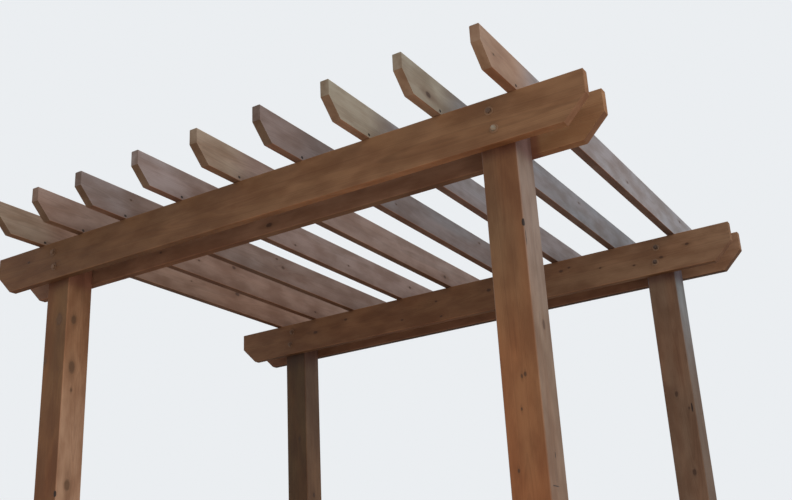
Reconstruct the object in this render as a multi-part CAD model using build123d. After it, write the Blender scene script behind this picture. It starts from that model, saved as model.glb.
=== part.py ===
# Free-standing timber pergola: four square posts, a pair of beams bolted to each row of posts,
# and rafters laid across the beams. Millimetres, +Z up, X along the beams, Y along the rafters,
# origin on the ground at the middle of the four posts.
from build123d import *
from math import radians, tan
import os

# Posts: 6 x 6 stock, planed to 140 mm, cut off square level with the tops of the beams.
post_side = 140
post_height = 2438
post_edge_radius = 5
# Centre to centre, along the beams and from the front row to the back row.
post_spacing_x = 2298
post_spacing_y = 1829

# Beams: 2 x 8 boards on edge, one on each face of a row of posts.
beam_thickness = 38
beam_depth = 184
beam_overhang = 305
beam_nose = 94
# How far each row's pair of beams was laid off centre, to the right of its posts.
beam_slides = {"front": -13, "back": 0}

# Rafters: 2 x 6 boards on edge, resting on the tops of the beams.
rafter_thickness = 38
rafter_depth = 140
rafter_overhang = 305
rafter_nose = 66
# How far each rafter was laid from its even place, left end to right end.
rafter_drift = (0, -50, -86, -58, -43, -29, -13, -4, 0)

# Board ends: plumb for the height of the nose, then sawn back to the underside at this angle.
tail_angle = 45
board_edge_radius = 3

# Bolts: two through each post and its pair of beams, one above the other and a little staggered.
bolt_bore = 13
bolt_drops = (50, 125)
bolt_stagger = 7

# Worked out from the sizes above.
beam_length = post_spacing_x + post_side + 2 * beam_overhang
rafter_length = post_spacing_y + post_side + 2 * rafter_overhang
beam_underside = post_height - beam_depth
beam_offset = (post_side + beam_thickness) / 2
end_rafter_x = (post_spacing_x + post_side + rafter_thickness) / 2
rafter_pitch = 2 * end_rafter_x / (len(rafter_drift) - 1)
row_places = {"front": -post_spacing_y / 2, "back": post_spacing_y / 2}
side_places = {"left": -post_spacing_x / 2, "right": post_spacing_x / 2}


def tailed_board(length, depth, thickness, nose):
    """A board on edge along X, its underside on Z = 0, with both ends cut to the same tail."""
    tip = length / 2
    heel = tip - (depth - nose) / tan(radians(tail_angle))
    outline = Polyline(
        (-tip, depth),
        (tip, depth),
        (tip, depth - nose),
        (heel, 0),
        (-heel, 0),
        (-tip, depth - nose),
        close=True,
    )
    board = extrude(Plane.XZ * make_face(outline), thickness / 2, both=True)
    return fillet(board.edges().filter_by(Axis.X), board_edge_radius)


def bolt_bores(row):
    """The holes drilled right through the beams and posts of one row."""
    lean = bolt_stagger if row == "front" else -bolt_stagger
    upper, lower = bolt_drops
    places = [(-lean, upper), (lean, lower)]
    reach = post_side + 4 * beam_thickness
    drill = Rot(90, 0, 0) * Cylinder(bolt_bore / 2, reach)
    bores = []
    for post_x in side_places.values():
        for aside, drop in places:
            bores.append(Pos(post_x + aside, row_places[row], post_height - drop) * drill)
    return bores


def post(side, row):
    """One post, standing on the ground, with its two pairs of holes for the bolts."""
    base = (Align.CENTER, Align.CENTER, Align.MIN)
    stick = Box(post_side, post_side, post_height, align=base)
    stick = fillet(stick.edges().filter_by(Axis.Z), post_edge_radius)
    return Pos(side_places[side], row_places[row], 0) * stick - bolt_bores(row)


def beam(row, face):
    """One beam of a pair, flat against the outer or the inner face of its row of posts."""
    outward = -1 if row == "front" else 1
    away = outward if face == "outer" else -outward
    board = tailed_board(beam_length, beam_depth, beam_thickness, beam_nose)
    place = Pos(beam_slides[row], row_places[row] + away * beam_offset, beam_underside)
    return place * board - bolt_bores(row)


def rafter(number):
    """One rafter, counted from 1 at the left, across both pairs of beams."""
    even_place = -end_rafter_x + (number - 1) * rafter_pitch
    board = tailed_board(rafter_length, rafter_depth, rafter_thickness, rafter_nose)
    return Pos(even_place + rafter_drift[number - 1], 0, post_height) * Rot(0, 0, 90) * board


def pergola():
    """Every piece under the name of its node."""
    pieces = {}
    for row in row_places:
        for side in side_places:
            pieces[f"{row}_{side}_post"] = post(side, row)
        for face in ("outer", "inner"):
            pieces[f"{row}_{face}_beam"] = beam(row, face)
    for number in range(1, len(rafter_drift) + 1):
        pieces[f"rafter_{number}"] = rafter(number)
    return pieces


os.makedirs("parts", exist_ok=True)
for node, shape in pergola().items():
    export_step(shape, f"parts/{node}.step")
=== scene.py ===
import math
import random

import bmesh
import bpy
from mathutils import Matrix, Vector


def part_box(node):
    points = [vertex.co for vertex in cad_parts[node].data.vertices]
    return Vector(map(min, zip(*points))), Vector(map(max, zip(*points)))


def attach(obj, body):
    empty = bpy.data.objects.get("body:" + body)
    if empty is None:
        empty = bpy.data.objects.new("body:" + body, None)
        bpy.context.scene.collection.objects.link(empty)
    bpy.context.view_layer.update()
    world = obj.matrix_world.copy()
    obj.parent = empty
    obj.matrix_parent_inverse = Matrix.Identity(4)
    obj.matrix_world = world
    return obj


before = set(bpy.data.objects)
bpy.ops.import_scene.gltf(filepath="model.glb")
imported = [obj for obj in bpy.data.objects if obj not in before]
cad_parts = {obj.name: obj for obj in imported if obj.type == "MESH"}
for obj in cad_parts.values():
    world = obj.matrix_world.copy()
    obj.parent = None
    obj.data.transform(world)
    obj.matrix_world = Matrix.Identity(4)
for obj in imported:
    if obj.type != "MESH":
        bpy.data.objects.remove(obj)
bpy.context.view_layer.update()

# The camera stands near the ground at the front right corner and looks up at the rafters, turned a
# little to the left, as in the photograph.
view = bpy.data.cameras.new("view from below")
view.sensor_width = 36.0
view.lens = 46.83
camera = bpy.data.objects.new("view from below", view)
bpy.context.scene.collection.objects.link(camera)
standing_at = (2.5388, -4.0747, 0.6294)
turned_left, tipped_up, rolled = 0.53769, 0.35588, -0.05393
camera.matrix_world = (
    Matrix.Translation(standing_at)
    @ Matrix.Rotation(turned_left, 4, "Z")
    @ Matrix.Rotation(math.radians(90) + tipped_up, 4, "X")
    @ Matrix.Rotation(rolled, 4, "Z")
)
bpy.context.scene.camera = camera

# A plain studio: a pale round floor, a pale backdrop that only the lens, gloss and glass see, an
# even dim glow from all sides, and two broad soft lights from far away, the stronger high on the
# right.
scene = bpy.context.scene
scene.view_settings.view_transform = "Standard"


def node(tree, kind, inputs=None, **settings):
    """A shader node with its settings, each input given a value or joined to another's socket."""
    made = tree.nodes.new(kind)
    for name, value in settings.items():
        setattr(made, name, value)
    for name, value in (inputs or {}).items():
        if isinstance(value, bpy.types.NodeSocket):
            tree.links.new(value, made.inputs[name])
        else:
            made.inputs[name].default_value = value
    return made


def calc(tree, operation, *values, clamp=False):
    """One sum on numbers or sockets."""
    inputs = dict(enumerate(values))
    return node(tree, "ShaderNodeMath", inputs, operation=operation, use_clamp=clamp).outputs[0]


studio_floor = bmesh.new()
bmesh.ops.create_circle(studio_floor, cap_ends=True, radius=40.0, segments=96)
floor_mesh = bpy.data.meshes.new("studio floor")
studio_floor.to_mesh(floor_mesh)
studio_floor.free()
floor = bpy.data.objects.new("studio_floor", floor_mesh)
scene.collection.objects.link(floor)
floor_paint = bpy.data.materials.new("pale floor")
floor_paint.use_nodes = True
floor_inputs = floor_paint.node_tree.nodes["Principled BSDF"].inputs
floor_inputs["Base Color"].default_value = (0.84, 0.83, 0.81, 1)
floor_inputs["Roughness"].default_value = 0.9
floor_mesh.materials.append(floor_paint)

backdrop = bpy.data.worlds.new("pale backdrop")
backdrop.use_nodes = True
scene.world = backdrop
sky = backdrop.node_tree
sky.nodes.clear()
ray = node(sky, "ShaderNodeLightPath")
seen = calc(sky, "ADD", ray.outputs["Is Camera Ray"], ray.outputs["Is Glossy Ray"])
seen = calc(sky, "ADD", seen, ray.outputs["Is Transmission Ray"], clamp=True)
glow = node(sky, "ShaderNodeBackground", {"Color": (1.0, 1.0, 1.0, 1), "Strength": 0.42})
pale = node(sky, "ShaderNodeBackground", {"Color": (0.83, 0.855, 0.88, 1), "Strength": 1.0})
both = node(sky, "ShaderNodeMixShader", {0: seen, 1: glow.outputs[0], 2: pale.outputs[0]})
node(sky, "ShaderNodeOutputWorld", {"Surface": both.outputs[0]})


def far_light(name, place, strength, spread):
    """Soft light that comes evenly from the direction of a place far away."""
    light = bpy.data.lights.new(name, "SUN")
    light.energy = strength
    light.angle = math.radians(spread)
    lamp = bpy.data.objects.new(name, light)
    scene.collection.objects.link(lamp)
    lamp.location = place
    lamp.rotation_euler = Vector(place).to_track_quat("Z", "Y").to_euler()


far_light("right light", (7.0, -2.2, 5.1), strength=1.5, spread=50)
far_light("back light", (-3.5, 7.5, 5.6), strength=0.8, spread=50)

# The posts: heavy square cedar sticks planed smooth, their long edges slightly rounded, standing on
# the ground with the heart of the tree inside them. Their red-brown stain lets the growth rings,
# knots and drying cracks show through, and it is rubbed thin along the edges, where painted
# highlights lie too.


def group(name, takes, gives):
    """An empty shader node group with named sockets, and its inner input and output nodes."""
    tree = bpy.data.node_groups.new(name, "ShaderNodeTree")
    for direction, sockets in (("INPUT", takes), ("OUTPUT", gives)):
        for label, kind in sockets.items():
            tree.interface.new_socket(name=label, in_out=direction, socket_type="NodeSocket" + kind)
    return tree, tree.nodes.new("NodeGroupInput").outputs, tree.nodes.new("NodeGroupOutput").inputs


def along(tree, operation, *values, output=0):
    """One sum on vectors or sockets."""
    inputs = dict(enumerate(values))
    if operation == "SCALE":
        inputs = {0: values[0], "Scale": values[1]}
    return node(tree, "ShaderNodeVectorMath", inputs, operation=operation).outputs[output]


def ramp(tree, value, low, high, start=0.0, end=1.0):
    """A smooth step from start to end while the value goes from low to high."""
    inputs = {"Value": value, "From Min": low, "From Max": high, "To Min": start, "To Max": end}
    made = node(tree, "ShaderNodeMapRange", inputs, interpolation_type="SMOOTHSTEP")
    return made.outputs["Result"]


def noise(tree, place, scale=1.0, detail=2.0, roughness=0.5, output="Fac"):
    """Soft unevenness from 0 to 1."""
    inputs = {"Vector": place, "Scale": scale, "Detail": detail, "Roughness": roughness}
    return node(tree, "ShaderNodeTexNoise", inputs).outputs[output]


def blend(tree, share, first, second):
    """Two colours mixed by a share from 0 to 1."""
    made = tree.nodes.new("ShaderNodeMix")
    made.data_type = "RGBA"
    for index, value in ((0, share), (6, first), (7, second)):
        if isinstance(value, bpy.types.NodeSocket):
            tree.links.new(value, made.inputs[index])
        else:
            made.inputs[index].default_value = value
    return made.outputs[2]


# A knot: the root of a branch that runs through the timber on a straight line. The grain sweeps
# round it.
knot, takes, gives = group(
    "knot",
    {"Vector": "Vector", "Nearness": "Float", "Streak": "Float", "Place": "Vector",
     "Line": "Vector", "Radius": "Float"},
    {"Vector": "Vector", "Nearness": "Float", "Streak": "Float"},
)
apart = along(knot, "SUBTRACT", takes["Vector"], takes["Place"])
outward = along(knot, "DOT_PRODUCT", apart, takes["Line"], output="Value")
aside = along(knot, "SUBTRACT", apart, along(knot, "SCALE", takes["Line"], outward))
oval = along(knot, "LENGTH", along(knot, "MULTIPLY", aside, (0.58, 1, 1)), output="Value")
grown = calc(knot, "MULTIPLY_ADD", takes["Radius"], ramp(knot, outward, 0.004, 0.06), 0.0001)
ratio = calc(knot, "DIVIDE", oval, grown)
push = calc(knot, "MINIMUM", calc(knot, "DIVIDE", 1.0, calc(knot, "MULTIPLY", ratio, ratio)), 1.0)
sweep = along(knot, "SCALE", along(knot, "MULTIPLY", aside, (0, 1, 1)), push)
knot.links.new(along(knot, "SUBTRACT", takes["Vector"], sweep), gives["Vector"])
knot.links.new(calc(knot, "MINIMUM", takes["Nearness"], ratio), gives["Nearness"])
drawn_out = along(knot, "LENGTH", along(knot, "MULTIPLY", aside, (0.16, 0.8, 0.8)), output="Value")
drawn_out = calc(knot, "DIVIDE", drawn_out, grown)
knot.links.new(calc(knot, "MINIMUM", takes["Streak"], drawn_out), gives["Streak"])

# Growth rings round the heart of the tree, which wanders along the stick.
rings, takes, gives = group(
    "growth rings",
    {"Vector": "Vector", "Heart": "Vector", "Wander": "Float", "Ring width": "Float",
     "Start": "Vector"},
    {"Late wood": "Float", "Outward": "Vector"},
)
slow = along(rings, "ADD", along(rings, "MULTIPLY", takes["Vector"], (0.55, 0, 0)), takes["Start"])
drift = along(rings, "SUBTRACT", noise(rings, slow, 1.0, 1.5, output="Color"), (0.5, 0.5, 0.5))
drift = along(rings, "SCALE", drift, takes["Wander"])
from_heart = along(rings, "ADD", along(rings, "SUBTRACT", takes["Vector"], takes["Heart"]), drift)
from_heart = along(rings, "MULTIPLY", from_heart, (0, 1, 1))
reach = along(rings, "LENGTH", from_heart, output="Value")
waver = noise(rings, along(rings, "MULTIPLY", takes["Vector"], (2.2, 26, 26)), 1.0, 2.0)
reach = calc(rings, "MULTIPLY_ADD", waver, 0.006, reach)
years = calc(rings, "DIVIDE", reach, takes["Ring width"])
uneven = node(rings, "ShaderNodeTexNoise", {"W": years, "Scale": 0.35, "Detail": 1.0},
              noise_dimensions="1D")
years = calc(rings, "MULTIPLY_ADD", uneven.outputs["Fac"], 1.6, years)
season = calc(rings, "FRACT", years)
growing = ramp(rings, season, 0.35, 0.9)
late = calc(rings, "MULTIPLY", growing, ramp(rings, season, 0.93, 1.0, 1.0, 0.0))
rings.links.new(late, gives["Late wood"])
rings.links.new(along(rings, "NORMALIZE", from_heart), gives["Outward"])

# Drying cracks open from the heart outwards and run along the grain, some long, most short.
cracks, takes, gives = group(
    "drying cracks",
    {"Vector": "Vector", "Outward": "Vector", "Amount": "Float", "Width": "Float",
     "Start": "Vector"},
    {"Crack": "Float"},
)
lengthwise = along(cracks, "MULTIPLY", takes["Vector"], (1.1, 0, 0))
spoke = along(cracks, "SCALE", takes["Outward"], 4.5)
plane = along(cracks, "ADD", along(cracks, "ADD", lengthwise, spoke), takes["Start"])
side_shift = noise(cracks, plane, 1.0, 1.0)
fork = noise(cracks, along(cracks, "MULTIPLY", takes["Vector"], (28, 90, 90)), 1.0, 2.0)
side_shift = calc(cracks, "MULTIPLY_ADD", fork, 0.008, side_shift)
off_line = calc(cracks, "ABSOLUTE", calc(cracks, "SUBTRACT", side_shift, 0.5))
patch = along(cracks, "MULTIPLY", takes["Vector"], (3.4, 9, 9))
patch = noise(cracks, along(cracks, "ADD", patch, takes["Start"]), 1.0, 2.0)
open_here = ramp(cracks, calc(cracks, "ADD", patch, takes["Amount"]), 0.95, 1.1)
line = calc(cracks, "SUBTRACT", 1.0, calc(cracks, "DIVIDE", off_line, takes["Width"]), clamp=True)
cracks.links.new(calc(cracks, "MULTIPLY", line, open_here), gives["Crack"])

# Rubbed edges: how near a point is to one of the stick's four long edges, broken up unevenly. The
# edges are lighter both from wear and from a painted highlight.
edges, takes, gives = group(
    "rubbed edges",
    {"Vector": "Vector", "Half size": "Vector", "Width": "Float"},
    {"Edge": "Float"},
)
inside = along(edges, "SUBTRACT", takes["Half size"], along(edges, "ABSOLUTE", takes["Vector"]))
parts = node(edges, "ShaderNodeSeparateXYZ", {0: inside}).outputs
away = calc(edges, "ADD", parts["Y"], parts["Z"])
ragged = noise(edges, along(edges, "MULTIPLY", takes["Vector"], (9, 60, 60)), 1.0, 3.0, 0.6)
away = calc(edges, "MULTIPLY_ADD", ragged, takes["Width"], away)
bare_to = calc(edges, "MULTIPLY", takes["Width"], 0.35)
sound_from = calc(edges, "MULTIPLY", takes["Width"], 1.5)
edges.links.new(ramp(edges, away, bare_to, sound_from, 1.0, 0.0), gives["Edge"])

# A torn or bruised place, strongest in the middle of its oval, where the timber is painted near
# black with shade.
bruise, takes, gives = group(
    "bruise",
    {"Vector": "Vector", "Mark": "Float", "Place": "Vector", "Size": "Vector"},
    {"Mark": "Float"},
)
apart = along(bruise, "SUBTRACT", takes["Vector"], takes["Place"])
oval = along(bruise, "LENGTH", along(bruise, "DIVIDE", apart, takes["Size"]), output="Value")
mark = ramp(bruise, oval, 0.3, 1.2, 1.0, 0.0)
bruise.links.new(calc(bruise, "MAXIMUM", takes["Mark"], mark), gives["Mark"])

# The stained timber itself: what is seen of all these on planed faces, and on the sawn ends. Faces
# that look to the open sides or up have faded in the sun and carry a painted sheen and painted
# light, and those that look down carry painted shade and are dull. Near a place along the stick the
# colours are others than far from it, which paints light and shade along it, and a band of painted
# shade is dark and red. The stain has dried to a thin dull film.
timber, takes, gives = group(
    "stained cedar",
    {"Vector": "Vector", "Swept": "Vector", "Nearness": "Float", "Streak": "Float",
     "Normal": "Vector", "Grain": "Vector", "Heart": "Vector", "Half size": "Vector",
     "Start": "Vector", "Ring width": "Float", "Cracking": "Float", "Mark": "Float",
     "Sheen and fade weights": "Vector", "Stain near": "Color", "Stain far": "Color", "Faded and lit near": "Color",
     "Faded and lit far": "Color", "End grain": "Color", "Knot wood": "Color", "Stretch": "Vector",
     "Underside near": "Float", "Underside far": "Float", "Painted shade band": "Vector", "Back": "Float"},
    {"Color": "Color", "Roughness": "Float", "Film": "Float", "Height": "Float"},
)
swept = takes["Swept"]
grown = node(timber, "ShaderNodeGroup", {
    "Vector": swept, "Heart": takes["Heart"], "Wander": 0.055,
    "Ring width": takes["Ring width"], "Start": takes["Start"],
}, node_tree=rings)
late = grown.outputs["Late wood"]
placed = along(timber, "ADD", swept, takes["Start"])
fibre = noise(timber, along(timber, "MULTIPLY", placed, (22, 900, 900)), 1.0, 3.0, 0.6)
streak = noise(timber, along(timber, "MULTIPLY", placed, (2.6, 95, 95)), 1.0, 3.0, 0.55)
cloud = noise(timber, along(timber, "MULTIPLY", placed, (5.5, 17, 17)), 1.0, 3.0, 0.5)
tone = noise(timber, along(timber, "MULTIPLY", placed, (1.1, 5, 5)), 1.0, 2.0, 0.5)
end = along(timber, "DOT_PRODUCT", takes["Normal"], takes["Grain"], output="Value")
end = ramp(timber, calc(timber, "ABSOLUTE", end), 0.35, 0.6)

# Near a place along the stick the colours go over into others far from it. Besides the timber's own
# changes, these paint light and shade: beams lighter towards the right, sunny rafter tails lighter,
# and posts lighter or darker down their length.
stretch = node(timber, "ShaderNodeSeparateXYZ", {0: takes["Stretch"]}).outputs
lengthwise = node(timber, "ShaderNodeSeparateXYZ", {0: takes["Vector"]}).outputs["X"]
distance = calc(timber, "ABSOLUTE", calc(timber, "SUBTRACT", lengthwise, stretch["X"]))
far = ramp(timber, distance, stretch["Y"], stretch["Z"])
stain = blend(timber, far, takes["Stain near"], takes["Stain far"])
late_stain = along(timber, "MULTIPLY", stain, (0.54, 0.50, 0.47))
faded_and_lit = blend(timber, far, takes["Faded and lit near"], takes["Faded and lit far"])

shade = calc(timber, "MULTIPLY_ADD", ramp(timber, cloud, 0.3, 0.7), 0.42, 0.79)
shade = calc(timber, "MULTIPLY", shade, calc(timber, "MULTIPLY_ADD", streak, 0.16, 0.92))
shade = calc(timber, "MULTIPLY", shade, calc(timber, "MULTIPLY_ADD", fibre, 0.22, 0.89))
shade = calc(timber, "SUBTRACT", shade, 1.0)
shade = along(timber, "MULTIPLY_ADD", shade, (0.82, 1.08, 1.28), (1, 1, 1))
wood = blend(timber, calc(timber, "MULTIPLY", late, 0.24), stain, late_stain)
redder = along(timber, "MULTIPLY", wood, (1.10, 0.92, 0.82))
wood = blend(timber, ramp(timber, tone, 0.38, 0.62), wood, redder)
facing = node(timber, "ShaderNodeSeparateXYZ", {0: takes["Normal"]}).outputs
upward, backward = facing["Z"], facing["Y"]
# Painted shade: faces that look down are darker, more so near the place than far from it.
shaded = ramp(timber, upward, -0.95, -0.8, 1.0, 0.0)
underside_shade = calc(timber, "SUBTRACT", takes["Underside far"], takes["Underside near"])
underside_shade = calc(timber, "MULTIPLY_ADD", far, underside_shade, takes["Underside near"])
wood = blend(timber, shaded, wood, along(timber, "SCALE", blend(timber, 0.2, wood, faded_and_lit), underside_shade))
# Faces that look back are made lighter or darker by the Back factor; it lightens the back of the
# back left post, whose front holds painted shade.
back_wood = along(timber, "SCALE", wood, takes["Back"])
wood = blend(timber, ramp(timber, backward, 0.5, 0.9), wood, back_wood)
wood = blend(timber, end, wood, takes["End grain"])
wood = along(timber, "MULTIPLY", wood, shade)

# Faces that look to the sides or up take the faded colour, which is partly real fading and partly
# painted sheen and painted light.
looks = along(timber, "DOT_PRODUCT", along(timber, "ABSOLUTE", takes["Normal"]), takes["Sheen and fade weights"],
              output="Value")
fade_and_sheen = calc(timber, "MULTIPLY", looks, ramp(timber, upward, -0.6, -0.3), clamp=True)
fade_and_sheen = calc(timber, "MULTIPLY", fade_and_sheen, ramp(timber, tone, 0.3, 0.6, 1.0, 0.8))
fade_and_sheen = calc(timber, "MULTIPLY", fade_and_sheen, calc(timber, "MULTIPLY_ADD", end, -0.35, 1.0))
grain_over_sheen = along(timber, "SCALE", shade, calc(timber, "MULTIPLY_ADD", late, -0.14, 1.035))
wood = blend(timber, fade_and_sheen, wood, along(timber, "MULTIPLY", faded_and_lit, grain_over_sheen))

nearness = takes["Nearness"]
broken = noise(timber, along(timber, "MULTIPLY", takes["Vector"], (70, 70, 70)), 1.0, 3.0)
nearness = calc(timber, "MULTIPLY_ADD", calc(timber, "SUBTRACT", broken, 0.5), 0.5, nearness)
in_knot = ramp(timber, nearness, 0.6, 1.25, 1.0, 0.0)
halo = calc(timber, "MAXIMUM", ramp(timber, nearness, 0.9, 2.2, 1.0, 0.0),
            ramp(timber, takes["Streak"], 0.4, 1.5, 1.0, 0.0))
turns = calc(timber, "SINE", calc(timber, "MULTIPLY", nearness, 24.0))
knot_shade = calc(timber, "MULTIPLY_ADD", turns, 0.1, 0.95)
rim = ramp(timber, nearness, 0.95, 1.2, 1.0, 0.0)
rim = calc(timber, "MULTIPLY", ramp(timber, nearness, 0.6, 0.9), rim)
knot_shade = calc(timber, "MULTIPLY", knot_shade, calc(timber, "MULTIPLY_ADD", rim, -0.3, 1.0))
wood = blend(timber, calc(timber, "MULTIPLY", halo, 0.34), wood, late_stain)
wood = blend(timber, calc(timber, "MULTIPLY", in_knot, 0.85), wood,
             along(timber, "SCALE", takes["Knot wood"], knot_shade))

worn_highlit_edges = node(timber, "ShaderNodeGroup", {
    "Vector": takes["Vector"], "Half size": takes["Half size"], "Width": 0.007,
}, node_tree=edges)
# Painted highlight and wear: the edges are lighter.
rubbed_and_highlit = along(timber, "MULTIPLY", wood, (1.50, 1.38, 1.30))
on_side = calc(timber, "SUBTRACT", 1.0, end)
edge = calc(timber, "MULTIPLY", worn_highlit_edges.outputs["Edge"], on_side)
wood = blend(timber, calc(timber, "MULTIPLY", edge, 0.45), wood, rubbed_and_highlit)

# Painted shade: a dark red band near a place along the stick, just under the beams on the posts and
# beside the right post on the inner front beam.
band_parts = node(timber, "ShaderNodeSeparateXYZ", {0: takes["Painted shade band"]}).outputs
distance = calc(timber, "ABSOLUTE", calc(timber, "SUBTRACT", lengthwise, band_parts["X"]))
painted_shade_band = ramp(timber, distance, band_parts["Y"], band_parts["Z"], 1.0, 0.0)
painted_shade_band = calc(timber, "MULTIPLY", painted_shade_band, on_side)
wood = blend(timber, painted_shade_band, wood, along(timber, "MULTIPLY", wood, (0.68, 0.54, 0.60)))

crack = node(timber, "ShaderNodeGroup", {
    "Vector": swept, "Outward": grown.outputs["Outward"], "Amount": takes["Cracking"],
    "Width": 0.012, "Start": takes["Start"],
}, node_tree=cracks).outputs["Crack"]
wood = blend(timber, calc(timber, "MULTIPLY", crack, 0.85), wood, (0.022, 0.011, 0.007, 1))
# Painted shade: the torn places and the holes round the screws are near black, over a dent in the
# bump.
torn_with_shade = calc(timber, "MULTIPLY_ADD", calc(timber, "SUBTRACT", broken, 0.5), 0.9, takes["Mark"])
torn_with_shade = ramp(timber, torn_with_shade, 0.35, 0.65)
wood = blend(timber, calc(timber, "MULTIPLY", torn_with_shade, 0.94), wood, (0.014, 0.008, 0.006, 1))
timber.links.new(wood, gives["Color"])

gloss = calc(timber, "MULTIPLY_ADD", late, -0.08, 0.56)
gloss = calc(timber, "MULTIPLY_ADD", streak, 0.16, gloss)
gloss = calc(timber, "MULTIPLY_ADD", end, 0.25, gloss)
gloss = calc(timber, "MULTIPLY_ADD", fade_and_sheen, 0.08, gloss)
gloss = calc(timber, "MULTIPLY_ADD", shaded, 0.15, gloss)
gloss = calc(timber, "MAXIMUM", gloss, calc(timber, "MULTIPLY", crack, 0.9))
timber.links.new(gloss, gives["Roughness"])
film = calc(timber, "MULTIPLY_ADD", shaded, -0.44, 0.44)
timber.links.new(calc(timber, "MULTIPLY_ADD", end, -0.28, film, clamp=True), gives["Film"])

height = calc(timber, "MULTIPLY", late, 0.00012)
height = calc(timber, "MULTIPLY_ADD", fibre, 0.00016, height)
height = calc(timber, "MULTIPLY_ADD", streak, 0.00045, height)
height = calc(timber, "MULTIPLY_ADD", cloud, 0.0012, height)
height = calc(timber, "MULTIPLY_ADD", in_knot, 0.0004, height)
height = calc(timber, "MULTIPLY_ADD", calc(timber, "MULTIPLY", in_knot, turns), 0.0001, height)
height = calc(timber, "MULTIPLY_ADD", crack, -0.0022, height)
height = calc(timber, "MULTIPLY_ADD", torn_with_shade, -0.0025, height)
saw = along(timber, "DOT_PRODUCT", takes["Vector"], (0, 260, 1900), output="Value")
saw = calc(timber, "MULTIPLY", calc(timber, "SINE", saw), calc(timber, "MULTIPLY", end, 0.00012))
timber.links.new(calc(timber, "ADD", height, saw), gives["Height"])

# The usual colour of a knot, and a place of painted shade far off the stick for timbers that have
# none.
knot_wood = (0.052, 0.023, 0.012)
nowhere = (99, 0, 1)


def cedar(piece, turn, grain, heart, knots, colours, stretch, undersides, sheen_and_fade_weights, ring_width,
          cracking, seed, marks=(), painted_shade_band=nowhere, back=1.0):
    """The stained timber of one stick. Its own coordinates run along the grain from its middle.
    Each knot is a point on its line, the line's direction and its radius, all in those coordinates,
    and each mark is a place and its size in them. The colours have the names of the timber's
    sockets; besides the timber's own colours they hold painted light, shade and sheen. The stretch
    is a place along the stick and the two distances from it between which near goes over into far,
    and the band of painted shade is given in the same way. The last value is how light the back is
    to the front."""
    low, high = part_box(piece)
    turned = Matrix.Rotation(turn[1], 3, turn[0])
    middle = turned @ ((low + high) / 2)
    half = turned @ ((high - low) / 2)
    chance = random.Random(seed)
    paint = bpy.data.materials.new("stained cedar of " + piece)
    paint.use_nodes = True
    tree = paint.node_tree
    tree.nodes.clear()
    coordinates = node(tree, "ShaderNodeTexCoord")
    place = node(tree, "ShaderNodeMapping", {
        "Vector": coordinates.outputs["Object"],
        "Location": -middle,
        "Rotation": [turn[1] if axis == turn[0] else 0.0 for axis in "XYZ"],
    }).outputs[0]
    swept, nearness, streak = place, 9.0, 9.0
    for point, line, radius in knots:
        swept, nearness, streak = node(tree, "ShaderNodeGroup", {
            "Vector": swept, "Nearness": nearness, "Streak": streak, "Place": point,
            "Line": Vector(line).normalized(), "Radius": radius,
        }, node_tree=knot).outputs
    mark = 0.0
    for middle_of_mark, size in marks:
        mark = node(tree, "ShaderNodeGroup", {
            "Vector": place, "Mark": mark, "Place": middle_of_mark, "Size": size,
        }, node_tree=bruise).outputs["Mark"]
    look = node(tree, "ShaderNodeGroup", {
        "Vector": place,
        "Swept": swept,
        "Nearness": nearness,
        "Streak": streak,
        "Normal": coordinates.outputs["Normal"],
        "Grain": grain,
        "Heart": (0, *heart),
        "Half size": [abs(size) for size in half],
        "Start": [chance.uniform(-40, 40) for axis in "XYZ"],
        "Ring width": ring_width,
        "Cracking": cracking,
        "Mark": mark,
        "Sheen and fade weights": sheen_and_fade_weights,
        "Stretch": stretch,
        "Underside near": undersides[0],
        "Underside far": undersides[1],
        "Painted shade band": painted_shade_band,
        "Back": back,
        **{name: (*colour, 1) for name, colour in {"Knot wood": knot_wood, **colours}.items()},
    }, node_tree=timber)
    bump = node(tree, "ShaderNodeBump", {"Height": look.outputs["Height"], "Distance": 1.0})
    surface = node(tree, "ShaderNodeBsdfPrincipled", {
        "Base Color": look.outputs["Color"],
        "Roughness": look.outputs["Roughness"],
        "Specular IOR Level": 0.06,
        "Coat Weight": look.outputs["Film"],
        "Coat Roughness": 0.62,
        "Normal": bump.outputs["Normal"],
    })
    node(tree, "ShaderNodeOutputMaterial", {"Surface": surface.outputs[0]})
    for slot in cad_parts[piece].material_slots:
        slot.material = paint


# How the stain came out on the front and back of each post, and what its sides have faded to, near
# its top and far from it. Both also hold painted light and shade: the back posts' fronts are darker
# with painted shade, the sides carry a painted sheen, and the side of the front left post is
# lighter with painted light.
post_colours = {
    "front_left_post": {
        "Stain near": (0.154, 0.072, 0.027), "Stain far": (0.156, 0.063, 0.023),
        "Faded and lit near": (0.287, 0.136, 0.066), "Faded and lit far": (0.367, 0.207, 0.124),
        "Knot wood": (0.120, 0.060, 0.030),
    },
    "front_right_post": {
        "Stain near": (0.174, 0.087, 0.040), "Stain far": (0.250, 0.107, 0.043),
        "Faded and lit near": (0.230, 0.166, 0.131), "Faded and lit far": (0.200, 0.129, 0.087),
        "Knot wood": (0.078, 0.038, 0.020),
    },
    "back_left_post": {
        "Stain near": (0.069, 0.035, 0.013), "Stain far": (0.069, 0.035, 0.013),
        "Faded and lit near": (0.130, 0.070, 0.039), "Faded and lit far": (0.138, 0.068, 0.033),
    },
    "back_right_post": {
        "Stain near": (0.150, 0.086, 0.051), "Stain far": (0.150, 0.086, 0.051),
        "Faded and lit near": (0.154, 0.160, 0.164), "Faded and lit far": (0.095, 0.056, 0.033),
    },
}
post_top_grain = (0.150, 0.082, 0.048)
post_cracking = {
    "front_left_post": 0.34, "front_right_post": 0.28,
    "back_left_post": 0.28, "back_right_post": 0.32,
}
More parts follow.
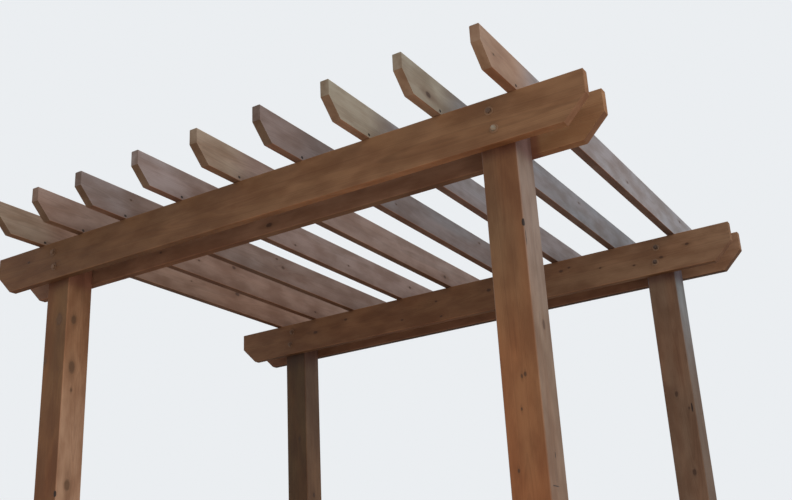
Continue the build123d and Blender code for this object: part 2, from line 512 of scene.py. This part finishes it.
# How far below its top each post goes over from near to far, and how far below it the painted shade
# under the beams reaches. The back left post has the darkest painted shade in front, and its back
# is lighter.
post_change = {
    "front_left_post": (0.45, 0.95), "front_right_post": (0.45, 0.95),
    "back_left_post": (0.45, 0.95), "back_right_post": (0.25, 0.85),
}
post_shade_band = {
    "front_left_post": (0.18, 0.25), "front_right_post": (0.18, 0.25),
    "back_left_post": (0.18, 0.30), "back_right_post": (0.18, 0.25),
}
post_backs = {
    "front_left_post": 1.0, "front_right_post": 1.0, "back_left_post": 1.8, "back_right_post": 1.0,
}
# Each knot: height above the ground, distance across its face from the middle, the face, radius.
post_knots = {
    "front_left_post": [
        (2.060, -0.028, "right", 0.013), (1.838, -0.023, "right", 0.017),
        (1.732, -0.019, "right", 0.005), (1.311, -0.010, "right", 0.015),
        (2.064, 0.023, "front", 0.018), (1.879, -0.057, "front", 0.010),
    ],
    "front_right_post": [
        (1.414, 0.020, "front", 0.005), (1.409, 0.009, "front", 0.0045),
        (1.300, -0.004, "front", 0.0035), (1.102, -0.035, "front", 0.004),
        (1.594, 0.012, "right", 0.011),
    ],
    "back_left_post": [(1.411, -0.007, "right", 0.008), (1.74, 0.02, "front", 0.007)],
    "back_right_post": [
        (1.645, -0.009, "front", 0.008), (1.570, 0.041, "front", 0.004),
        (1.268, 0.022, "front", 0.009),
    ],
}
post_hearts = {
    "front_left_post": (0.012, -0.020), "front_right_post": (-0.016, 0.010),
    "back_left_post": (0.022, 0.014), "back_right_post": (-0.008, -0.024),
}
# Which way each face looks, towards the back and towards the left.
faces = {"front": (-1, 0), "back": (1, 0), "right": (0, -1), "left": (0, 1)}
# Torn places at the edges and faces: height above the ground, the place across the post from its
# middle towards the back and towards the left, and half the mark's size in the same order. They are
# painted near black with shade, and one along the front right post's corner is only a line of
# shade.
post_marks = {
    "front_left_post": [((1.268, -0.070, -0.066), (0.018, 0.008, 0.010))],
    "front_right_post": [
        ((1.946, -0.070, -0.068), (0.019, 0.009, 0.009)),
        ((1.892, -0.064, -0.070), (0.036, 0.003, 0.008)),
        ((1.147, -0.006, -0.070), (0.013, 0.0035, 0.010)),
        ((1.046, -0.026, -0.070), (0.002, 0.034, 0.010)),
    ],
    "back_left_post": [],
    "back_right_post": [((1.570, -0.070, -0.056), (0.030, 0.010, 0.005))],
}
half_post = 0.07
for number, (piece, seen_knots) in enumerate(post_knots.items()):
    chance = random.Random(30 + number)
    low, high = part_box(piece)
    # The faces out of sight and the feet have a few small knots too.
    listed = list(seen_knots)
    for face in ("back", "left", "front", "right"):
        count = 2 if face in ("back", "left") else 1
        top = 2.2 if face in ("back", "left") else 0.9
        for step in range(count):
            height = top * (step + chance.uniform(0.2, 0.8)) / count + 0.1
            across = chance.uniform(-0.04, 0.04)
            listed.append((height, across, face, chance.uniform(0.005, 0.014)))
    middle_height = (low.z + high.z) / 2
    knots = []
    for height, across, face, radius in listed:
        slope = chance.uniform(0.1, 0.35)
        level = height - middle_height - slope * half_post
        aside = (across * (face in ("right", "left")), -across * (face in ("front", "back")))
        knots.append(((level, *aside), (slope, *faces[face]), radius))
    marks = []
    for (height, towards_back, towards_left), size in post_marks[piece]:
        marks.append(((height - middle_height, towards_back, towards_left), size))
    colours = {"End grain": post_top_grain, **post_colours[piece]}
    top = (high.z - low.z) / 2
    cedar(
        piece, ("Y", math.radians(90)), (0, 0, 1), post_hearts[piece], knots, colours,
        stretch=(top, *post_change[piece]), undersides=(0.7, 0.7), sheen_and_fade_weights=(1, 0, 1),
        ring_width=0.0028, cracking=post_cracking[piece], seed=100 + number, marks=marks,
        painted_shade_band=(top, *post_shade_band[piece]), back=post_backs[piece],
    )

# The beams: broad cedar boards on edge, one on each face of a row of posts, flush with the tops of
# the posts and bolted through them. Both ends are cut plumb at the top and sawn back below.
beam_stain = (0.168, 0.075, 0.034)
beam_end_grain = Vector((0.190, 0.088, 0.045))
# What each beam has faded to near its left end and far from it, lighter towards the right with
# painted light, how far from that end it changes, how light its end grain is, darker on the back
# beams with painted shade, and its underside near that end and far from it, with painted shade.
# The inner front beam and the outer back one stay dark with painted shade between the posts.
beam_fading_and_light = {
    "front_outer_beam":
        ((0.142, 0.065, 0.028), (0.240, 0.119, 0.055), (0.6, 2.5), 1.30, (0.62, 1.18)),
    "front_inner_beam":
        ((0.215, 0.103, 0.057), (0.380, 0.195, 0.091), (2.5, 2.8), 1.13, (0.62, 1.10)),
    "back_inner_beam":
        ((0.145, 0.064, 0.028), (0.224, 0.120, 0.064), (1.5, 2.9), 0.84, (0.58, 0.66)),
    "back_outer_beam":
        ((0.155, 0.064, 0.030), (0.270, 0.140, 0.077), (2.5, 2.8), 0.60, (0.30, 0.32)),
}
# Painted shade: the inner front beam is darker beside the right post.
beam_shade_band = {"front_inner_beam": (1.162, 0.085, 0.115)}
# Each knot goes right through the board: distance along from the middle, height from the middle
# line, radius.
beam_knots = {
    "front_outer_beam": [(-1.31, 0.03, 0.005)],
    "front_inner_beam": [(-0.001, -0.055, 0.010), (-0.626, -0.031, 0.005)],
    "back_inner_beam": [
        (0.642, 0.034, 0.007), (0.677, 0.043, 0.005), (0.208, 0.022, 0.008),
        (-0.127, 0.027, 0.005), (-0.096, -0.065, 0.005), (-0.357, -0.036, 0.005),
        (1.180, -0.014, 0.006), (1.308, 0.025, 0.006), (1.037, -0.024, 0.0045),
        (0.851, 0.003, 0.004), (-0.971, 0.008, 0.009), (-0.747, 0.044, 0.006),
    ],
    "back_outer_beam": [(0.35, -0.03, 0.009), (-0.75, 0.04, 0.007), (1.22, 0.0, 0.010)],
}
beam_hearts = {
    "front_outer_beam": (0.070, -0.012), "front_inner_beam": (-0.085, 0.020),
    "back_inner_beam": (0.060, 0.016), "back_outer_beam": (-0.075, -0.022),
}


def through_knots(places, chance):
    """Knots whose lines go through the thickness of a board, from just outside it."""
    outside = 0.1
    knots = []
    for distance, level, radius in places:
        slope = chance.uniform(-0.3, 0.3)
        knots.append(((distance - slope * outside, -outside, level), (slope, 1, 0), radius))
    return knots


for number, (piece, places) in enumerate(beam_knots.items()):
    chance = random.Random(50 + number)
    lit_faded_left, lit_faded_right, change, end_lightness, undersides = beam_fading_and_light[piece]
    colours = {
        "Stain near": beam_stain, "Stain far": beam_stain, "Faded and lit near": lit_faded_left,
        "Faded and lit far": lit_faded_right, "End grain": beam_end_grain * end_lightness,
    }
    low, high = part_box(piece)
    left_end = (low.x - high.x) / 2
    cedar(
        piece, ("Z", 0.0), (1, 0, 0), beam_hearts[piece], through_knots(places, chance), colours,
        stretch=(left_end, *change), undersides=undersides, sheen_and_fade_weights=(1, 1, 1),
        ring_width=0.0026, cracking=0.24, seed=200 + number,
        painted_shade_band=beam_shade_band.get(piece, nowhere),
    )

# The rafters: nine narrower cedar boards on edge across the beams, numbered from the left, with the
# same cut at both ends. Each is held by slanted screws into the tops of the outer beams.
rafter_stain = (0.190, 0.086, 0.040)
rafter_end_grain = Vector((0.225, 0.125, 0.072))
# What the sides fade to: first a lighter brown, in the end a cool silver grey, or where the sun
# falls on them a straw colour. The grey also holds a painted sheen, and the straw painted sunlight.
faded_lit_brown = Vector((0.205, 0.115, 0.074))
sheen_grey, sunlit_straw = Vector((0.205, 0.202, 0.215)), Vector((0.205, 0.180, 0.137))
# How light each rafter is and how far towards grey it has gone, how light its sunny front tail is,
# how far that has gone and towards what, and how light its end grain is. The lightness is partly
# painted light, the grey partly a painted sheen that grows towards the right, and the sunny tails
# and the lighter end grain at the right painted sunlight.
rafter_fading_and_light = {
    1: (1.00, 0.10, 1.20, 0.60, sunlit_straw, 0.65), 2: (1.00, 0.20, 1.21, 0.24, sheen_grey, 0.60),
    3: (0.82, 0.34, 1.06, 0.58, sheen_grey, 0.60), 4: (1.05, 0.44, 1.40, 0.62, sheen_grey, 0.66),
    5: (1.12, 0.34, 1.44, 0.54, sunlit_straw, 0.77), 6: (0.79, 0.74, 0.97, 0.55, sheen_grey, 0.58),
    7: (0.98, 0.84, 1.57, 1.00, sunlit_straw, 0.96), 8: (0.98, 0.98, 1.41, 0.95, sunlit_straw, 1.05),
    9: (1.21, 0.90, 1.60, 0.22, sunlit_straw, 1.25),
}
rafter_knots = {
    1: [(0.378, 0.036, 0.011), (-0.015, 0.015, 0.004), (-0.70, -0.02, 0.005)],
    2: [(0.040, 0.050, 0.009), (-0.234, 0.014, 0.005), (0.80, -0.03, 0.006)],
    3: [(0.125, 0.010, 0.008), (0.072, 0.044, 0.006), (-1.0, 0.03, 0.004)],
    4: [(-0.212, -0.040, 0.005), (0.267, -0.020, 0.005), (0.90, 0.02, 0.007)],
    5: [(0.741, -0.030, 0.009), (-0.45, 0.03, 0.004)],
    6: [(0.55, 0.035, 0.006), (-0.30, -0.02, 0.004)],
    7: [(0.20, -0.045, 0.005), (1.05, 0.01, 0.008)],
    8: [(-1.105, -0.024, 0.011), (0.35, 0.03, 0.005)],
    9: [(-1.195, -0.008, 0.004), (0.15, -0.02, 0.005), (0.95, 0.04, 0.007)],
}


def screw_places(number):
    """A rafter's four screws: on which side each is, where its head meets the face, its turn."""
    low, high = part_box(f"rafter_{number}")
    chance = random.Random(500 + number)
    places = []
    for outer_beam, corner in (("front_outer_beam", 0), ("back_outer_beam", 1)):
        beam_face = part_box(outer_beam)[corner].y
        for outward, face in ((1, high.x), (-1, low.x)):
            across = beam_face + chance.uniform(-0.005, 0.005)
            level = low.z + chance.uniform(0.010, 0.017)
            places.append((outward, Vector((face, across, level)), chance.uniform(0, math.tau)))
    return places


shaded_hole_size = (0.0095, 0.006, 0.007)
for number, places in rafter_knots.items():
    chance = random.Random(70 + number)
    heart = (chance.choice((-1, 1)) * chance.uniform(0.05, 0.09), chance.uniform(-0.03, 0.03))
    lightness, sheen_share, tail_lightness, tail_lit_share, tail_lit_colour, end_light = rafter_fading_and_light[number]
    colours = {
        "Stain near": rafter_stain, "Stain far": rafter_stain,
        "Faded and lit near": faded_lit_brown.lerp(sheen_grey, sheen_share) * lightness,
        "Faded and lit far": faded_lit_brown.lerp(tail_lit_colour, tail_lit_share) * tail_lightness,
        "End grain": rafter_end_grain * end_light,
    }
    low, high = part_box(f"rafter_{number}")
    # Each screw head sits in a hole painted near black with shade.
    shaded_holes_round_screws = []
    for outward, place, spin in screw_places(number):
        apart = place - (low + high) / 2
        shaded_holes_round_screws.append(((apart.y, -apart.x, apart.z), shaded_hole_size))
    # The undersides are dark with painted shade, and at the right, where the sun reaches further
    # in, the tails and their undersides are painted lighter.
    change = (2.07, 2.34) if number >= 7 else (2.19, 2.41)
    middle_underside = 0.46 if number <= 5 else 0.53
    tail_underside = 0.80 if number <= 5 else 0.95 if number == 6 else 1.15
    cedar(
        f"rafter_{number}", ("Z", math.radians(-90)), (0, 1, 0), heart,
        through_knots(places, chance), colours, stretch=(high.y, *change),
        undersides=(middle_underside, tail_underside), sheen_and_fade_weights=(1, 1, 1),
        ring_width=0.0024, cracking=0.20, seed=300 + number, marks=shaded_holes_round_screws,
    )

# The bolts: two half-inch galvanised hexagon bolts through each post and its pair of beams, with
# their heads on the outer side and each end on a round washer. The nuts are on the inner side, with
# the thread standing a little out of them.
post_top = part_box("front_left_post")[1].z
bolt_drops = {"upper": 0.050, "lower": 0.125}
bolt_lean = 0.007
bolt_radius, bolt_core = 0.00635, 0.0056
across_flats, head_height, nut_height = 0.019, 0.0082, 0.0111
# How steeply the corners are turned off past the flats, and how far in from them the outer face
# begins and how far it stands up.
corner_slope, face_inset, face_rise = 0.62, across_flats * 0.045, 0.0003
washer_radius, washer_hole, washer_thickness = 0.0175, 0.0069, 0.0026
# How far the washers are pulled into the timber, and the shank's reach past the beams' faces.
pulled_in, shank_reach = 0.0003, 0.001
# The thread starts inside the nut and ends in a small point.
thread_pitch, thread_hidden, thread_showing = 0.00195, 0.004, 0.009
point_radius, point_height = bolt_core * 0.82, 0.001
washer_slot, head_slot, nut_slot = 0, 1, 2


def ring_of(mesh, segments, radius, level):
    """A loop of edges square to +Z, standing at a level."""
    made = bmesh.ops.create_circle(mesh, cap_ends=False, radius=radius, segments=segments,
                                   matrix=Matrix.Translation((0, 0, level)))
    loop = made["verts"]
    return [edge for edge in mesh.edges if edge.verts[0] in loop and edge.verts[1] in loop]


def turned_outline(mesh, segments, outline):
    """A ring for each radius and level, each skinned to the one before, with both ends capped."""
    loops = [ring_of(mesh, segments, radius, level) for radius, level in outline]
    for first, second in zip(loops, loops[1:]):
        bmesh.ops.bridge_loops(mesh, edges=first + second)
    for loop in (loops[0], loops[-1]):
        bmesh.ops.contextual_create(mesh, geom=loop)


def turn_mesh(mesh, angle, axis):
    """The whole mesh turned about the origin."""
    bmesh.ops.rotate(mesh, verts=mesh.verts, cent=(0, 0, 0),
                     matrix=Matrix.Rotation(angle, 3, axis))


def take_in(mesh, part):
    """A finished part copied into the mesh of the whole piece, and let go."""
    copied = bpy.data.meshes.new("part")
    part.to_mesh(copied)
    part.free()
    mesh.from_mesh(copied)
    bpy.data.meshes.remove(copied)


def washer(mesh, level):
    """A flat ring whose outer rim is a little rounded, spun from its section."""
    rim = washer_thickness * 0.3
    section = [
        (washer_hole, level), (washer_radius - rim, level), (washer_radius, level + rim),
        (washer_radius, level + washer_thickness - rim),
        (washer_radius - rim, level + washer_thickness), (washer_hole, level + washer_thickness),
    ]
    corners = [mesh.verts.new((radius, 0, height)) for radius, height in section]
    outline = [mesh.edges.new(pair) for pair in zip(corners, corners[1:] + corners[:1])]
    bmesh.ops.spin(mesh, geom=corners + outline, cent=(0, 0, 0), axis=(0, 0, 1), angle=math.tau,
                   steps=36, use_merge=True)


def hexagon(mesh, level, height):
    """A hexagonal head or nut whose corners are turned off to a cone at its outer face."""
    corner = across_flats / math.sqrt(3)
    block = bmesh.new()
    bmesh.ops.create_cone(block, cap_ends=True, segments=6, radius1=corner, radius2=corner,
                          depth=height, matrix=Matrix.Translation((0, 0, level + height / 2)))
    across = []
    for edge in block.edges:
        rise = abs(edge.verts[0].co.z - edge.verts[1].co.z)
        if rise <= height / 2:
            across.append(edge)
    bmesh.ops.subdivide_edges(block, edges=across, cuts=3)
    top = [point for point in block.verts if point.co.z > level + height * 0.9]
    for point in top:
        over = point.co.xy.length - across_flats / 2
        point.co.z -= max(over, 0) * corner_slope
    lid = [face for face in block.faces if face.normal.z > 0.9]
    bmesh.ops.inset_region(block, faces=lid, thickness=face_inset, depth=face_rise)
    for face in block.faces:
        face.material_index = head_slot
    take_in(mesh, block)


def one_bolt(name, place, outward, spin, washer_paint, head_paint, nut_paint):
    """A whole bolt with washers and nut, made along +Z from its middle and then laid along Y."""
    gap = (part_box("front_inner_beam")[1].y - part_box("front_outer_beam")[0].y) / 2
    mesh = bmesh.new()
    turned_outline(mesh, 24, [(bolt_core, -gap - shank_reach), (bolt_core, gap + shank_reach)])
    washer(mesh, gap - pulled_in)
    hexagon(mesh, gap + washer_thickness - pulled_in, head_height)
    turn_mesh(mesh, spin, "Z")

    nut_side = bmesh.new()
    washer(nut_side, gap - pulled_in)
    hexagon(nut_side, gap + washer_thickness - pulled_in, nut_height)
    washer_faces = sum(face.material_index == washer_slot for face in nut_side.faces)
    outline = []
    level = gap + washer_thickness + nut_height - thread_hidden
    while level < gap + washer_thickness + nut_height + thread_showing - thread_pitch:
        outline += [(bolt_core, level), (bolt_radius, level + thread_pitch * 0.4),
                    (bolt_radius, level + thread_pitch * 0.6)]
        level += thread_pitch
    outline += [(bolt_core, level), (point_radius, level + point_height)]
    turned_outline(nut_side, 20, outline)
    for face in list(nut_side.faces)[washer_faces:]:
        face.material_index = nut_slot
    nut_spin = spin * 2.3
    turn_mesh(nut_side, nut_spin, "Z")
    turn_mesh(nut_side, math.pi, "X")

    take_in(mesh, nut_side)
    turn_mesh(mesh, math.radians(-90) * outward, "X")
    bmesh.ops.translate(mesh, verts=mesh.verts, vec=place)
    bmesh.ops.recalc_face_normals(mesh, faces=mesh.faces)
    body = bpy.data.meshes.new(name)
    mesh.to_mesh(body)
    mesh.free()
    for paint in (washer_paint, head_paint, nut_paint):
        body.materials.append(paint)
    bolt = bpy.data.objects.new(name, body)
    scene.collection.objects.link(bolt)
    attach(bolt, "root")


# Hot-dipped zinc, dull and mottled, brushed over with the timber's stain, which has rubbed off here
# and there.
zinc, takes, gives = group(
    "stained zinc",
    {"Vector": "Vector", "Stained": "Float", "Stain": "Color"},
    {"Color": "Color", "Roughness": "Float", "Metallic": "Float", "Height": "Float"},
)
spangle = node(zinc, "ShaderNodeTexVoronoi", {"Vector": takes["Vector"], "Scale": 420.0})
spangle = along(zinc, "DOT_PRODUCT", spangle.outputs["Color"], (0.33, 0.33, 0.33), output="Value")
mottle = noise(zinc, takes["Vector"], 160.0, 4.0, 0.6)
grey = blend(zinc, spangle, (0.28, 0.235, 0.18, 1), (0.36, 0.305, 0.24, 1))
grey = blend(zinc, ramp(zinc, mottle, 0.45, 0.7), grey, (0.23, 0.185, 0.135, 1))
left_on = calc(zinc, "ADD", noise(zinc, takes["Vector"], 110.0, 3.0), takes["Stained"])
left_on = ramp(zinc, left_on, 0.85, 1.15)
stain = along(zinc, "SCALE", takes["Stain"], calc(zinc, "MULTIPLY_ADD", mottle, 0.6, 0.7))
zinc.links.new(blend(zinc, left_on, grey, stain), gives["Color"])
zinc.links.new(calc(zinc, "MULTIPLY_ADD", mottle, 0.3, 0.5), gives["Roughness"])
zinc.links.new(calc(zinc, "MULTIPLY_ADD", left_on, -0.35, 0.35), gives["Metallic"])
zinc.links.new(calc(zinc, "MULTIPLY", mottle, 0.00012), gives["Height"])


def zinc_finish(name, stained, stain):
    """The zinc of one kind of fastener: how much stain is left on it, and the stain's colour."""
    paint = bpy.data.materials.new(name)
    paint.use_nodes = True
    tree = paint.node_tree
    tree.nodes.clear()
    coordinates = node(tree, "ShaderNodeTexCoord")
    look = node(tree, "ShaderNodeGroup", {
        "Vector": coordinates.outputs["Object"], "Stained": stained, "Stain": (*stain, 1),
    }, node_tree=zinc)
    bump = node(tree, "ShaderNodeBump", {"Height": look.outputs["Height"], "Distance": 1.0})
    surface = node(tree, "ShaderNodeBsdfPrincipled", {
        "Base Color": look.outputs["Color"], "Roughness": look.outputs["Roughness"],
        "Metallic": look.outputs["Metallic"], "Normal": bump.outputs["Normal"],
    })
    node(tree, "ShaderNodeOutputMaterial", {"Surface": surface.outputs[0]})
    return paint


left_washer = zinc_finish("left washer, stained over", 1.1, (0.150, 0.070, 0.031))
right_washer = zinc_finish("right washer, stained over", 1.1, (0.240, 0.125, 0.062))
bare_washer = zinc_finish("washer, half bare", 0.72, (0.225, 0.125, 0.068))
left_head = zinc_finish("left bolt head, stained over", 0.80, (0.165, 0.085, 0.045))
dark_head = zinc_finish("bolt head, darker", 1.0, (0.120, 0.064, 0.037))
bare_highlit_head = zinc_finish("bolt head, rubbed bare", 0.45, (0.290, 0.195, 0.120))
brown_nut = zinc_finish("nut, stained over", 1.0, (0.125, 0.062, 0.033))
shaded_nut = zinc_finish("nut, dark with painted shade", 1.0, (0.070, 0.037, 0.022))
# The paints of washers, upper head, lower head and nuts. The stains on them follow the painted
# light and shade of the timber beside them, the upper head at the front right is darker, the dark
# nuts at the back right hold painted shade, and the bare lower head at the front right a painted
# highlight.
fastener_paints = {
    ("front", "left"): (left_washer, left_head, left_head, brown_nut),
    ("front", "right"): (right_washer, dark_head, bare_highlit_head, brown_nut),
    ("back", "left"): (left_washer, left_head, left_head, brown_nut),
    ("back", "right"): (bare_washer, dark_head, dark_head, shaded_nut),
}
chance = random.Random(7)
for row, outward in (("front", -1), ("back", 1)):
    for side in ("left", "right"):
        low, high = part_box(f"{row}_{side}_post")
        middle = (low + high) / 2
        for level, drop in bolt_drops.items():
            lean = bolt_lean * (-1 if level == "upper" else 1) * -outward
            place = (middle.x + lean, middle.y, post_top - drop)
            washer_paint, upper_paint, lower_paint, nut_paint = fastener_paints[row, side]
            one_bolt(f"{row}_{side}_{level}_bolt", place, outward, chance.uniform(0, math.tau),
                     washer_paint, upper_paint if level == "upper" else lower_paint, nut_paint)

# The rafter screws: coated deck screws driven at a slant through each side of a rafter's lower edge
# into the top of the outer beams, their round heads just showing.
screw_radius, screw_tilt = 0.0043, math.radians(52)
cone_depth, rim_depth, crown_height, recess_depth = 0.0032, 0.0008, 0.0004, 0.0016
head_sides, star_waist = 12, 0.62
screw_paint = bpy.data.materials.new("bronze-coated screw")
screw_paint.use_nodes = True
tree = screw_paint.node_tree
surface = tree.nodes["Principled BSDF"]
coordinates = node(tree, "ShaderNodeTexCoord")
rubbing = noise(tree, coordinates.outputs["Object"], 700.0, 3.0, 0.6)
coated, rubbed_bright = (0.042, 0.027, 0.018, 1), (0.11, 0.085, 0.06, 1)
coating = blend(tree, ramp(tree, rubbing, 0.45, 0.75), coated, rubbed_bright)
tree.links.new(coating, surface.inputs["Base Color"])
tree.links.new(calc(tree, "MULTIPLY_ADD", rubbing, 0.3, 0.35), surface.inputs["Roughness"])
pits = calc(tree, "MULTIPLY", rubbing, 0.00008)
bump = node(tree, "ShaderNodeBump", {"Height": pits, "Distance": 1.0})
tree.links.new(bump.outputs["Normal"], surface.inputs["Normal"])
surface.inputs["Metallic"].default_value = 0.5


def screw_head(mesh, place, outward, spin):
    """A countersunk head with a star recess, tilted so that it faces up and off the rafter."""
    head = bmesh.new()
    outline = [
        (screw_radius * 0.45, -cone_depth), (screw_radius, -rim_depth), (screw_radius, 0.0),
        (screw_radius * 0.9, crown_height), (screw_radius * 0.56, crown_height),
    ]
    turned_outline(head, head_sides, outline)
    caps = [face for face in head.faces if len(face.verts) == head_sides]
    lid = max(caps, key=lambda face: face.calc_center_median().z)
    pushed = bmesh.ops.extrude_discrete_faces(head, faces=[lid])["faces"][0]
    for number, point in enumerate(pushed.verts):
        point.co.z -= recess_depth
        if number % 2:
            point.co.xy *= star_waist
    bmesh.ops.remove_doubles(head, verts=head.verts, dist=0.00001)
    bmesh.ops.recalc_face_normals(head, faces=head.faces)
    turn_mesh(head, spin, "Z")
    turn_mesh(head, screw_tilt * outward, "Y")
    bmesh.ops.translate(head, verts=head.verts, vec=place)
    take_in(mesh, head)


for number in rafter_knots:
    mesh = bmesh.new()
    for outward, place, spin in screw_places(number):
        screw_head(mesh, place, outward, spin)
    heads = bpy.data.meshes.new(f"rafter_{number}_screws")
    mesh.to_mesh(heads)
    mesh.free()
    heads.materials.append(screw_paint)
    screws = bpy.data.objects.new(f"rafter_{number}_screws", heads)
    scene.collection.objects.link(screws)
    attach(screws, "root")
